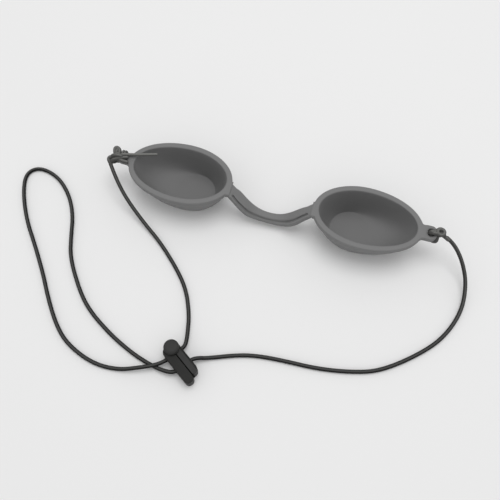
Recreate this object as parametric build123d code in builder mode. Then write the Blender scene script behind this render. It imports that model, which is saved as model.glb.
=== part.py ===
from build123d import *
import os
from math import asin, atan2, cos, degrees, hypot, pi, radians, sin, sqrt, tan

# Soft tanning goggles: two opaque eye cups on an arched nose strap, held by one thin elastic cord
# that is knotted at each ear tab and gathered by a sprung cord lock.
# Millimetres. The goggles lie on their domes with the eye side up: X runs from ear to ear,
# Y away from the brow side, Z up. The origin lies on the table under the middle of the goggles.

# Overall sizes of the goggles
cup_length = 45.0
cup_width = 28.0
cup_depth = 15.0
bridge_span = 35.0

# Eye cup: one moulding with a sealing lip, a steep wall and a round flat dome toward the nose
rim_width = 2.3
rim_height = 2.4
rim_step = 0.5
rim_round = 0.5
rim_under_round = 0.25
wall = 0.7
floor_thickness = 1.2
floor_diameter = 16.8
floor_round = 0.7
floor_offset = 5.8
rim_widest_offset = 1.5

# Ear tab with its cord hole
tab_width = 5.4
tab_reach = 5.8
tab_neck_round = 1.8
hole_diameter = 2.9
hole_bevel = 0.25

# Nose strap: an arch that dips away from the face and bows toward the brow side
strap_thickness = 2.0
strap_end_drop = 1.9
strap_floor_gap = 1.5
strap_arch_radius = 14.5
strap_end_inset = 0.4
strap_far_end = 1.2
strap_far_middle = -3.7
strap_near_end = -4.7
strap_near_middle = -8.1
strap_end_margin = 0.4
flex_gap = 0.08
channel_depth = 0.7
channel_width = 1.3
channel_lip = 0.8
channel_end_margin = 1.5

# Elastic cord and the run of its three lengths: points at the corners of straight runs
cord_diameter = 1.6
cord_sides = 10
arc_share = 0.45
left_strand_points = (
    (-70.4, -2.5, 13.0),
    (-67.2, -7.6, 10.6),
    (-60.5, -13.3, 6.4),
    (-50.5, -21.2, 2.2),
    (-40.5, -27.4, 0.8),
    (-31.0, -35.5, 0.8),
    (-23.0, -44.5, 0.8),
    (-19.4, -53.5, 0.8),
    (-17.7, -60.9, 0.9),
)
head_loop_points = (
    (-31.2, -80.4, 2.9),
    (-40.5, -83.4, 0.8),
    (-51.0, -83.6, 0.8),
    (-61.5, -79.6, 0.8),
    (-70.2, -72.4, 0.8),
    (-77.0, -64.2, 0.8),
    (-83.6, -54.0, 0.8),
    (-92.0, -42.4, 0.8),
    (-100.4, -32.2, 0.8),
    (-107.4, -21.5, 0.8),
    (-110.9, -11.5, 0.8),
    (-104.5, -5.9, 0.8),
    (-95.2, -8.2, 0.8),
    (-87.0, -15.5, 0.8),
    (-81.8, -25.5, 0.8),
    (-79.0, -35.0, 0.8),
    (-74.8, -44.8, 0.8),
    (-67.6, -54.6, 0.8),
    (-59.2, -63.6, 0.8),
    (-48.0, -70.2, 0.8),
    (-38.0, -74.3, 0.8),
    (-29.0, -77.3, 0.8),
    (-22.6, -80.0, 2.0),
)
right_strand_points = (
    (-3.2, -67.9, 0.8),
    (4.2, -64.6, 0.8),
    (11.5, -62.6, 0.8),
    (22.5, -62.2, 0.8),
    (35.5, -62.2, 0.8),
    (48.0, -59.9, 0.8),
    (59.5, -55.8, 0.8),
    (70.0, -46.9, 0.8),
    (79.8, -36.8, 0.8),
    (85.2, -24.0, 0.8),
    (85.6, -12.5, 3.8),
    (81.6, -4.2, 8.3),
    (76.6, 0.4, 11.7),
    (72.35, 1.2, 13.25),
)

# Knots: a loop through the ear tab, turned from straight outward, and folds of cord past its tip
knot_loop_radius = 2.6
knot_loop_offset = 2.3
knot_loop_rise = 1.2
left_knot_turn = 0
left_knot_folds = (
    ((-69.6, -1.1, 13.9), (-69.8, 1.0, 14.3), 2.4),
    ((-69.3, 0.2, 15.4), (-69.8, 3.1, 15.9), 1.9),
    ((-68.3, 0.3, 16.1), (-67.8, 2.2, 16.0), 1.9),
    ((-70.4, -0.4, 14.2), (-70.9, -1.7, 13.4), 2.0),
    ((-68.3, 0.5, 15.9), (-52.0, 4.9, 16.0), 1.2),
)
right_knot_turn = 20
right_knot_folds = (
    ((69.4, 0.7, 14.0), (70.0, 1.8, 14.4), 2.2),
    ((68.7, 0.9, 16.3), (69.3, 2.2, 15.9), 1.7),
    ((67.1, -1.5, 11.4), (68.9, 0.2, 11.75), 1.6),
    ((70.2, 1.6, 14.2), (71.6, 1.34, 13.53), 1.6),
)

# Cord lock, in its own directions: along it toward the tip, across it away from the brow, and up
lock_x = -21.9
lock_y = -69.5
lock_turn = -34.2
lock_top_end = -1.2
lock_tip = 16.3
lock_near_side = -4.3
lock_far_side = 2.9
lock_lobe_side = -0.55
lock_shoulder = 14.6
lock_height = 5.2
lock_web = 0.9
lock_end_round = 3.0
lock_tip_round = 1.7
lock_shoulder_round = 2.4
lock_edge_round = 0.35
cord_slot_length = 3.1
cord_slot_height = 2.2
cord_slot_round = 0.5
cord_slot_bevel = 0.2
cord_height = 2.8
upper_cord_place = 3.1
lower_cord_place = 9.0
upper_far_leg = 5.2
lower_far_leg = 4.6
upper_near_leg = -6.2
lower_near_leg = -5.7
pinch_gap = 0.05

# Slider of the lock with its thumb pad
slider_width = 2.4
slider_gap = 0.12
slider_slit = 0.4
slider_top_end = -0.9
slider_bottom_end = 14.6
slider_end_round = 1.0
pad_diameter = 6.1
pad_along = 0.9
pad_across = -0.1
pad_height = 2.1
pad_gap = 0.3
pad_round = 1.3
pad_neck_end = 3.0
press_travel = 1.4
pocket_height = 2.1
pocket_wall = 0.35
slider_edge_round = 0.15

# Coil spring between the slider's pocket and a lug on the body's floor
spring_start = 10.6
lug_start = 13.2
lug_length = 0.7
lug_gap = 0.05
lug_top_gap = 0.2
spring_diameter = 1.5
spring_wire = 0.22
spring_turns = 2
spring_end_gap = 0.04
arcs_per_turn = 4
gap_points_per_turn = 60

# Extra length by which a cut runs past a face
overrun = 2.0

# Places that follow from the sizes
half_length = cup_length / 2
half_width = cup_width / 2
cup_centre = bridge_span / 2 + half_length
lip_bottom = cup_depth - rim_height
inner_floor_radius = floor_diameter / 2
outer_floor_radius = inner_floor_radius + wall
tab_tip = cup_centre + half_length + tab_reach
hole_place = tab_tip - tab_width / 2
knuckle_place = bridge_span / 2 - strap_end_inset
knuckle_height = cup_depth - strap_end_drop
strap_middle_height = strap_floor_gap + strap_thickness / 2
slider_near = lock_lobe_side + slider_slit
slider_far = slider_near + slider_width
channel_far = slider_far + slider_gap
slider_middle = (slider_near + slider_far) / 2
slider_bottom = lock_web + slider_gap
lock_middle = (lock_near_side + lock_far_side) / 2
pad_bottom = lock_height + pad_gap
pocket_top = slider_bottom + pocket_height
pocket_near = slider_near + pocket_wall
pocket_far = slider_far - pocket_wall
spring_height = (lock_web + pocket_top) / 2
spring_radius = (spring_diameter - spring_wire) / 2

# How the wall closes in from the dome to the lip, at shares of the height: each row gives the share
# of the way from the dome's edge to the lip for the temple, the nose, the flanks and the middle
wall_shares = (
    (0.00, 0.00, 0.00, 0.00, 0.00),
    (0.06, 0.30, 0.12, 0.13, 0.35),
    (0.18, 0.56, 0.30, 0.33, 0.62),
    (0.44, 0.80, 0.58, 0.62, 0.84),
    (0.72, 0.93, 0.80, 0.82, 0.95),
    (1.00, 1.00, 1.00, 1.00, 1.00),
)


def egg(height, nose_reach, temple_reach, flank_reach, middle):
    """Level face of four quarter ellipses, blunt toward the nose and longer toward the temple."""
    centre = (cup_centre + middle, 0)
    outward = temple_reach - middle
    inward = nose_reach + middle
    with BuildSketch(Plane.XY.offset(height)) as face:
        with BuildLine():
            EllipticalCenterArc(centre, outward, flank_reach, 0, arc_size=90)
            EllipticalCenterArc(centre, inward, flank_reach, 90, arc_size=90)
            EllipticalCenterArc(centre, inward, flank_reach, 180, arc_size=90)
            EllipticalCenterArc(centre, outward, flank_reach, 270, arc_size=90)
        make_face()
    return face.sketch


def wall_form(bottom, top, floor_radius, inset):
    """Closed form between the dome's disc and the lip, following the wall's shares."""
    nose_floor = floor_offset + floor_radius
    temple_floor = floor_radius - floor_offset
    sections = []
    for height, temple, nose, flank, middle in wall_shares:
        sections.append(
            egg(
                bottom + height * (top - bottom),
                nose_floor + nose * (half_length - inset - nose_floor),
                temple_floor + temple * (half_length - inset - temple_floor),
                floor_radius + flank * (half_width - inset - floor_radius),
                -floor_offset + middle * (floor_offset - rim_widest_offset),
            )
        )
    with BuildPart() as form:
        loft(sections)
    return form.part


def eye_cup():
    """Eye cup on the right, with its nose side toward the middle of the goggles."""
    pad_far = strap_far_end + strap_end_margin
    pad_near = strap_near_end - strap_end_margin
    outside = wall_form(0, lip_bottom, outer_floor_radius, rim_step)
    inside = wall_form(floor_thickness, cup_depth, inner_floor_radius, rim_width)
    rim = egg(lip_bottom, half_length, half_length, half_width, -rim_widest_offset)
    with BuildPart() as cup:
        # Lip with the ear tab and the flat pad over the strap's end
        with BuildSketch(Plane.XY.offset(lip_bottom)) as lip:
            add(rim)
            with Locations(((hole_place + cup_centre) / 2, 0)):
                Rectangle(hole_place - cup_centre, tab_width)
            with Locations(((knuckle_place + cup_centre) / 2, (pad_far + pad_near) / 2)):
                Rectangle(cup_centre - knuckle_place, pad_far - pad_near)
            with Locations((hole_place, 0)):
                Circle(tab_width / 2)
            necks = [
                corner
                for corner in lip.vertices()
                if cup_centre + half_length / 2 < corner.X < hole_place - tab_neck_round
                and abs(corner.Y) < tab_width
            ]
            fillet(necks, radius=tab_neck_round)
        extrude(amount=rim_height)
        fillet(cup.edges().group_by(Axis.Z)[-1], radius=rim_round)
        fillet(cup.edges().group_by(Axis.Z)[0], radius=rim_under_round)

        # Wall and dome below the lip, then the hollow
        add(outside)
        fillet(cup.edges().group_by(Axis.Z)[0], radius=floor_round)
        add(inside, mode=Mode.SUBTRACT)
        fillet(cup.faces().sort_by(Axis.Z)[-1].inner_wires()[0].edges(), radius=rim_round)

        # Cord hole
        with BuildSketch(Plane.XY.offset(cup_depth)):
            with Locations((hole_place, 0)):
                Circle(hole_diameter / 2)
        extrude(amount=-(rim_height + overrun), mode=Mode.SUBTRACT)
        rings = cup.edges().filter_by(GeomType.CIRCLE)
        hole_rings = [ring for ring in rings if abs(ring.radius - hole_diameter / 2) < hole_bevel / 2]
        chamfer(hole_rings, length=hole_bevel)

        # Socket that the strap's rounded end turns in
        with BuildSketch(Plane.XZ.offset(-pad_far)):
            with Locations((knuckle_place, knuckle_height)):
                Circle(strap_thickness / 2 + flex_gap)
        extrude(amount=pad_far - pad_near + overrun, mode=Mode.SUBTRACT)
    return cup.part


def strap_line(rise):
    """Corner points and arc of the strap seen from the front, a rise above its middle line."""
    arch_centre = strap_middle_height + strap_arch_radius
    slope = asin(strap_arch_radius / hypot(knuckle_place, arch_centre - knuckle_height)) - atan2(
        arch_centre - knuckle_height, knuckle_place
    )
    radius = strap_arch_radius - rise
    end_x = knuckle_place - rise * sin(slope)
    end_z = knuckle_height + rise * cos(slope)
    turn_x = radius * sin(slope)
    turn_z = arch_centre - radius * cos(slope)
    low_z = arch_centre - radius
    return end_x, end_z, turn_x, turn_z, low_z


def nose_strap():
    """Strap between the cups, with rounded ends that turn in the cups' sockets."""
    reach = knuckle_place + strap_thickness / 2
    near_sag = strap_near_end - strap_near_middle
    near_radius = (reach**2 + near_sag**2) / (2 * near_sag)
    channel_radius = near_radius - channel_lip - channel_width / 2
    channel_angle = degrees(asin((knuckle_place - channel_end_margin) / channel_radius))
    end_x, end_z, turn_x, turn_z, low_z = strap_line(0)
    rise = strap_thickness / 2 - channel_depth
    cut_x, cut_z, cut_turn_x, cut_turn_z, cut_low_z = strap_line(rise)

    with BuildPart() as channel:
        with BuildSketch(Plane.XZ):
            with BuildLine():
                Polyline((-cut_turn_x, cut_turn_z), (-cut_x, cut_z), (-cut_x, cup_depth + overrun),
                         (cut_x, cup_depth + overrun), (cut_x, cut_z), (cut_turn_x, cut_turn_z))
                ThreePointArc((-cut_turn_x, cut_turn_z), (0, cut_low_z), (cut_turn_x, cut_turn_z))
            make_face()
        extrude(amount=cup_width, both=True)
        with BuildSketch():
            with BuildLine():
                CenterArc((0, strap_near_middle + near_radius), channel_radius,
                          -90 - channel_angle, 2 * channel_angle)
                offset(amount=channel_width / 2, kind=Kind.ARC, side=Side.BOTH)
            make_face()
        extrude(amount=cup_depth + 2 * overrun, mode=Mode.INTERSECT)

    with BuildPart() as strap:
        with BuildSketch(Plane.XZ):
            with BuildLine():
                Line((-end_x, end_z), (-turn_x, turn_z))
                ThreePointArc((-turn_x, turn_z), (0, low_z), (turn_x, turn_z))
                Line((turn_x, turn_z), (end_x, end_z))
                offset(amount=strap_thickness / 2, kind=Kind.ARC, side=Side.BOTH)
            make_face()
        extrude(amount=cup_width, both=True)
        with BuildSketch():
            with BuildLine():
                ThreePointArc((-reach, strap_far_end), (0, strap_far_middle), (reach, strap_far_end))
                Line((reach, strap_far_end), (reach, strap_near_end))
                ThreePointArc((reach, strap_near_end), (0, strap_near_middle), (-reach, strap_near_end))
                Line((-reach, strap_near_end), (-reach, strap_far_end))
            make_face()
        extrude(amount=cup_depth, mode=Mode.INTERSECT)
        add(channel.part, mode=Mode.SUBTRACT)
    strap.part.label = "nose_bridge"
    return strap.part


def run_radii(points):
    """Radius of the arc at each corner of a run, from the shorter of its two straight runs."""
    radii = []
    for before, corner, after in zip(points, points[1:], points[2:]):
        arriving = Vector(*corner) - Vector(*before)
        leaving = Vector(*after) - Vector(*corner)
        half_turn = radians(arriving.get_angle(leaving)) / 2
        radii.append(arc_share * min(arriving.length, leaving.length) / tan(half_turn))
    return radii


def cord_length(points, name):
    """Tube of cord along the points: straight runs joined by tangent arcs."""
    radii = run_radii(points)
    with BuildPart() as tube:
        with BuildLine() as path:
            FilletPolyline(*points, radius=radii)
        line = path.wire()
        with BuildSketch(Plane(origin=line @ 0, z_dir=line % 0)) as section:
            RegularPolygon(cord_diameter / 2, cord_sides)
        sweep(path=line)
    tube.part.label = name
    ideal = section.sketch.area * line.length
    print(name, "length", round(line.length, 1), "least radius", round(min(radii), 2),
          "volume share", round(tube.part.volume / ideal, 4))
    return tube.part


def fold(start, end, diameter):
    """Rounded length of cord between two points."""
    line = Edge.make_line(start, end)
    with BuildPart() as piece:
        with BuildSketch(Plane(origin=start, z_dir=line % 0)):
            Circle(diameter / 2)
        extrude(amount=line.length)
        with Locations(start, end):
            Sphere(diameter / 2)
    return piece.part


def cord_knot(side, turn, folds, name):
    """Knot at one ear: the loop through the tab's hole and the folds past its tip."""
    outward = Vector(side * cos(radians(turn)), sin(radians(turn)), 0)
    hole = Vector(side * hole_place, 0, cup_depth - knot_loop_rise)
    loop_plane = Plane(origin=hole + outward * knot_loop_offset, x_dir=outward, z_dir=(0, 0, 1))
    with BuildPart() as knot:
        with BuildSketch(loop_plane):
            with Locations((knot_loop_radius, 0)):
                RegularPolygon(cord_diameter / 2, cord_sides)
        revolve(axis=Axis(loop_plane.origin, loop_plane.y_dir))
        for start, end, diameter in folds:
            add(fold(start, end, diameter))
    knot.part.label = name
    return knot.part


def lock_plane(across=0):
    """Plane of the lock's plan view, at a height across it of zero."""
    turn = radians(lock_turn)
    return Plane(origin=(lock_x, lock_y, across), x_dir=(cos(turn), sin(turn), 0), z_dir=(0, 0, 1))


def lock_point(along, across, height):
    """Point of the lock in the goggles' own directions."""
    place = lock_plane().from_local_coords(Vector(along, across, height))
    return (place.X, place.Y, place.Z)


def cord_slots(start_shift):
    """Both cord slots, cut right across the lock; the shift moves them along it."""
    turn = radians(lock_turn)
    across_plane = Plane(origin=lock_point(0, lock_far_side + overrun, 0),
                         x_dir=(cos(turn), sin(turn), 0), z_dir=(sin(turn), -cos(turn), 0))
    with BuildPart() as slots:
        with BuildSketch(across_plane):
            for place in (upper_cord_place, lower_cord_place):
                edge = place - cord_diameter / 2 - pinch_gap
                with Locations((edge + start_shift + cord_slot_length / 2, cord_height)):
                    RectangleRounded(cord_slot_length, cord_slot_height, cord_slot_round)
        extrude(amount=lock_far_side - lock_near_side + 2 * overrun)
    return slots.part


def plan_box(start, end, near, far, bottom, top):
    """Upright block in the lock's own directions."""
    with BuildPart() as block:
        with BuildSketch(lock_plane(bottom)):
            with Locations(((start + end) / 2, (near + far) / 2)):
                Rectangle(end - start, far - near)
        extrude(amount=top - bottom)
    return block.part


def lock_body():
    """Channelled body of the lock: a long near lobe, a thin far cheek and the spring's lug."""
    with BuildPart() as body:
        with BuildSketch(lock_plane()) as plan:
            with BuildLine():
                Polyline(
                    (lock_top_end, lock_near_side),
                    (lock_tip, lock_near_side),
                    (lock_tip, lock_lobe_side),
                    (lock_shoulder, lock_lobe_side),
                    (lock_shoulder, lock_far_side),
                    (lock_top_end, lock_far_side),
                    close=True,
                )
            make_face()
            fillet(plan.vertices().group_by(Axis.X)[0], radius=lock_end_round)
            fillet(plan.vertices().group_by(Axis.X)[-1], radius=lock_tip_round)
            shoulder = plan.vertices().sort_by_distance((lock_shoulder, lock_far_side))[0]
            fillet(shoulder, radius=lock_shoulder_round)
        extrude(amount=lock_height)
        fillet(body.edges().group_by(Axis.Z)[-1], radius=lock_edge_round)
        fillet(body.edges().group_by(Axis.Z)[0], radius=lock_edge_round)

        # Channel for the slider, open above and at both ends, then the lug for the spring
        add(
            plan_box(lock_top_end - overrun, lock_tip + overrun, lock_lobe_side, channel_far,
                     lock_web, lock_height + overrun),
            mode=Mode.SUBTRACT,
        )
        add(
            plan_box(lug_start, lug_start + lug_length, pocket_near + slider_gap, pocket_far - slider_gap,
                     0, pocket_top - lug_top_gap)
        )

        # Cord slots with bevelled mouths
        add(cord_slots(0), mode=Mode.SUBTRACT)
        mouths = []
        for edge in body.edges():
            place = lock_plane().to_local_coords(edge.center())
            on_side = min(abs(place.Y - lock_near_side), abs(place.Y - lock_far_side)) < cord_slot_bevel / 2
            by_slot = upper_cord_place - cord_diameter < place.X < lower_cord_place + cord_slot_length
            if on_side and by_slot and abs(place.Z - cord_height) < cord_slot_height / 2 + cord_slot_bevel:
                mouths.append(edge)
        chamfer(mouths, length=cord_slot_bevel)
    body.part.label = "lock_body"
    return body.part


def lock_slider():
    """Slider of the lock: a bar with two cord slots, a pocket for the spring and a thumb pad."""
    with BuildPart() as slider:
        with BuildSketch(lock_plane(slider_bottom)) as plan:
            with Locations(((slider_top_end + slider_bottom_end) / 2, slider_middle)):
                Rectangle(slider_bottom_end - slider_top_end, slider_width)
            fillet(plan.vertices().group_by(Axis.X)[-1], radius=slider_end_round)
        extrude(amount=lock_height - slider_bottom)
        fillet(slider.edges().group_by(Axis.Z)[-1], radius=slider_edge_round)
        add(plan_box(slider_top_end, pad_neck_end, slider_near, slider_far, cord_height + cord_slot_height / 2,
                     pad_bottom + (pad_height - pad_round) / 2))
        with BuildSketch(lock_plane(pad_bottom)):
            with Locations((pad_along, pad_across)):
                Circle(pad_diameter / 2)
        extrude(amount=pad_height)
        rings = [edge for edge in slider.edges().filter_by(GeomType.CIRCLE)
                 if abs(edge.radius - pad_diameter / 2) < pad_gap]
        fillet(ShapeList(rings).sort_by(Axis.Z)[-1], radius=pad_round)
        add(cord_slots(-press_travel), mode=Mode.SUBTRACT)
        add(plan_box(spring_start, lug_start + lug_length + lug_gap, pocket_near, pocket_far,
                     slider_bottom - overrun, pocket_top), mode=Mode.SUBTRACT)
    slider.part.label = "lock_slider"
    return slider.part


def coil_place(turns):
    """Point and direction on the spring's middle line after a number of turns from its start."""
    start = spring_start + spring_end_gap + spring_wire / 2
    end = lug_start - spring_end_gap - spring_wire / 2
    pitch = (end - start) / spring_turns
    angle = 2 * pi * turns
    along = start + pitch * turns
    across = slider_middle + spring_radius * cos(angle)
    height = spring_height + spring_radius * sin(angle)
    round_speed = 2 * pi * spring_radius
    ahead = lock_point(along + pitch, across - round_speed * sin(angle), height + round_speed * cos(angle))
    place = Vector(*lock_point(along, across, height))
    return place, (Vector(*ahead) - place).normalized()


def lock_spring():
    """Coil spring that pushes the slider back: half turns of two tangent arcs each."""
    half_turns = [coil_place(count * 2 / arcs_per_turn)
                  for count in range(round(spring_turns * arcs_per_turn / 2) + 1)]
    with BuildPart() as spring:
        with BuildLine() as path:
            for (start, leaving), (end, arriving) in zip(half_turns, half_turns[1:]):
                chord = end - start
                both = leaving + arriving
                bend = 2 * (1 - leaving.dot(arriving))
                push = chord.dot(both)
                reach = (sqrt(push**2 + bend * chord.dot(chord)) - push) / bend
                first = start + leaving * reach
                second = end - arriving * reach
                middle = (first + second) * 0.5
                TangentArc(start, middle, tangent=leaving)
                TangentArc(middle, end, tangent=second - first)
        line = path.wire()
        with BuildSketch(Plane(origin=line @ 0, z_dir=line % 0)):
            Circle(spring_wire / 2)
        sweep(path=line)
    spring.part.label = "lock_spring"

    steps = round(gap_points_per_turn * spring_turns)
    points = [line @ (count / steps) for count in range(steps + 1)]
    apart = min(
        (point - other).length
        for count, point in enumerate(points)
        for other in points[count + gap_points_per_turn // 2:]
    )
    print("lock_spring gap to itself", round(apart - spring_wire, 3), "pieces", len(path.edges()))
    return spring.part


upper_hole = lock_point(upper_cord_place, lock_middle, cord_height)
lower_hole = lock_point(lower_cord_place, lock_middle, cord_height)
left_strand = left_strand_points + (lock_point(upper_cord_place, upper_far_leg, cord_height), upper_hole)
head_loop = (
    (upper_hole, lock_point(upper_cord_place, upper_near_leg, cord_height))
    + head_loop_points
    + (lock_point(lower_cord_place, lower_near_leg, cord_height), lower_hole)
)
right_strand = (lower_hole, lock_point(lower_cord_place, lower_far_leg, cord_height)) + right_strand_points

right_eye_cup = eye_cup()
right_eye_cup.label = "right_eye_cup"
left_eye_cup = mirror(right_eye_cup, about=Plane.YZ)
left_eye_cup.label = "left_eye_cup"

os.makedirs("parts", exist_ok=True)
parts = [
    left_eye_cup,
    right_eye_cup,
    nose_strap(),
    cord_knot(-1, left_knot_turn, left_knot_folds, "left_cord_knot"),
    cord_knot(1, right_knot_turn, right_knot_folds, "right_cord_knot"),
    cord_length(left_strand, "left_cord_strand"),
    cord_length(head_loop, "head_loop_cord"),
    cord_length(right_strand, "right_cord_strand"),
    lock_body(),
    lock_slider(),
    lock_spring(),
]
for piece in parts:
    export_step(piece, f"parts/{piece.label}.step")
    print(piece.label, round(piece.volume, 1), len(piece.solids()), piece.bounding_box())
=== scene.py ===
"""Tanning goggles on a pale table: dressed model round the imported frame.

Two soft opaque eye cups hang on an arched nose strap. One thin elastic cord is knotted at each
ear tab and gathered by a sprung cord lock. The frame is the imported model's: X runs from ear to
ear, Y away from the brow side, Z up from the table. Sizes are in metres, and the points of routes
and bends in millimetres.
"""
import logging
from dataclasses import dataclass
from enum import Enum
from math import cos, exp, pi, radians, sin

import bmesh
import bpy
from mathutils import Matrix, Vector


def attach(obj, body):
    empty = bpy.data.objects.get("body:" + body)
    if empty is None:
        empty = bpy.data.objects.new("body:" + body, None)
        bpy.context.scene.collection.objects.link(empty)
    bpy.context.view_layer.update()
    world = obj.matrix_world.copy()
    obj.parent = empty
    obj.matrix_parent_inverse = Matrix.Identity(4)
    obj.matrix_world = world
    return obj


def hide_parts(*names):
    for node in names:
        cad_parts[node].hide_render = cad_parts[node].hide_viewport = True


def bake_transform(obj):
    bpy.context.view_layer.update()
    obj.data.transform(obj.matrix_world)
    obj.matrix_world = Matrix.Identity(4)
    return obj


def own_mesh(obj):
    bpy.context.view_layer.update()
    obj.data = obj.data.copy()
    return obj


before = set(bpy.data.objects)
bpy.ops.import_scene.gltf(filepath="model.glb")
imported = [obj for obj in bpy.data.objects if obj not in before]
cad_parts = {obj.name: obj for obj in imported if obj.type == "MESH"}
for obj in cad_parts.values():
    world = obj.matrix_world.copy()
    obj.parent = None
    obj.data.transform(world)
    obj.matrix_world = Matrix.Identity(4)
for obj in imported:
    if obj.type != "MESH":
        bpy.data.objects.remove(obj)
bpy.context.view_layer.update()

log = logging.getLogger("goggles")

MM = 0.001
# The table lies this far below the cups, so that their faces don't fall together.
FLOOR_CLEARANCE = 0.00002

Point = tuple[float, float, float]
Route = tuple[Point, ...]
Fold = tuple[Route, bool]


class Lay(Enum):
    """Name of the point attribute that a finish reads along a cord."""

    ROUND_AND_ALONG = "lay"
    WORN = "worn"
    # Upward tilt of the surface, from which the elastic's finish paints its highlight and shade.
    UPPER_SIDE = "upper"


class CordEnd(Enum):
    BACK_IN_OBJECT = "object"


def mm(*values: float) -> Vector:
    """Point or size given in millimetres, as a vector in metres."""
    return Vector(values) * MM


def linear(hex_colour: str) -> tuple[float, float, float, float]:
    """Turn an sRGB hex colour into linear light.

    Args:
        hex_colour: Six hex digits after a hash sign.

    Returns:
        Red, green, blue and an alpha of one.
    """
    channels = []
    for start in (1, 3, 5):
        share = int(hex_colour[start : start + 2], 16) / 255
        channels.append(share / 12.92 if share <= 0.04045 else ((share + 0.055) / 1.055) ** 2.4)
    return (*channels, 1.0)


def add_node(
    tree: bpy.types.NodeTree,
    kind: str,
    settings: dict[str, object] | None = None,
    inputs: dict[str | int, object] | None = None,
    links: dict[str | int, bpy.types.NodeSocket] | None = None,
) -> bpy.types.Node:
    """Add one node to a tree with its settings, socket values and incoming links.

    Args:
        tree: Node tree that the node joins.
        kind: Blender's name of the node type.
        settings: Attributes of the node itself.
        inputs: Values for its input sockets, by name or number.
        links: Output sockets that feed its input sockets, by name or number.

    Returns:
        The new node.
    """
    node = tree.nodes.new(kind)
    for name, value in (settings or {}).items():
        setattr(node, name, value)
    for name, value in (inputs or {}).items():
        node.inputs[name].default_value = value
    for name, socket in (links or {}).items():
        tree.links.new(socket, node.inputs[name])
    return node


def start_material(name: str) -> tuple[bpy.types.Material, bpy.types.Node]:
    """Start a node material with its Principled shader wired to the output.

    Args:
        name: Name of the material.

    Returns:
        The material and its shader.
    """
    material = bpy.data.materials.new(name)
    material.use_nodes = True
    tree = material.node_tree
    tree.nodes.clear()
    shader = add_node(tree, "ShaderNodeBsdfPrincipled")
    add_node(tree, "ShaderNodeOutputMaterial", links={"Surface": shader.outputs["BSDF"]})
    return material, shader


@dataclass(frozen=True)
class SoftMoulding:
    """Soft PVC from a polished mould: dull grey with a faint bloom and a fine orange peel."""

    name: str = "soft_pvc_moulded"
    body_colour: str = "#707070"
    bloom_colour: str = "#777777"
    bloom_size: float = 7 * MM
    bloom_detail: float = 3.0
    bloom_roughness: float = 0.55
    bloom_range: tuple[float, float] = (0.3, 0.7)
    roughness_low: float = 0.5
    roughness_high: float = 0.64
    peel_size: float = 0.45 * MM
    peel_depth: float = 0.02 * MM
    peel_strength: float = 0.5
    ior: float = 1.5
    specular: float = 0.3

    def build(self) -> bpy.types.Material:
        """Make the material.

        Returns:
            The finished material.
        """
        material, shader = start_material(self.name)
        tree = material.node_tree
        place = add_node(tree, "ShaderNodeTexCoord").outputs["Object"]
        bloom = add_node(
            tree, "ShaderNodeTexNoise",
            inputs={
                "Scale": 1 / self.bloom_size,
                "Detail": self.bloom_detail,
                "Roughness": self.bloom_roughness,
            },
            links={"Vector": place},
        )
        colours = add_node(
            tree, "ShaderNodeMix", settings={"data_type": "RGBA"},
            inputs={6: linear(self.body_colour), 7: linear(self.bloom_colour)},
            links={0: bloom.outputs["Fac"]},
        )
        tree.links.new(colours.outputs[2], shader.inputs["Base Color"])
        rough = add_node(
            tree, "ShaderNodeMapRange",
            inputs={
                "From Min": self.bloom_range[0],
                "From Max": self.bloom_range[1],
                "To Min": self.roughness_low,
                "To Max": self.roughness_high,
            },
            links={"Value": bloom.outputs["Fac"]},
        )
        tree.links.new(rough.outputs["Result"], shader.inputs["Roughness"])
        peel = add_node(
            tree, "ShaderNodeTexNoise", inputs={"Scale": 1 / self.peel_size},
            links={"Vector": place},
        )
        bump = add_node(
            tree, "ShaderNodeBump",
            inputs={"Strength": self.peel_strength, "Distance": self.peel_depth},
            links={"Height": peel.outputs["Fac"]},
        )
        tree.links.new(bump.outputs["Normal"], shader.inputs["Normal"])
        shader.inputs["IOR"].default_value = self.ior
        shader.inputs["Specular IOR Level"].default_value = self.specular
        return material


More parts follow.
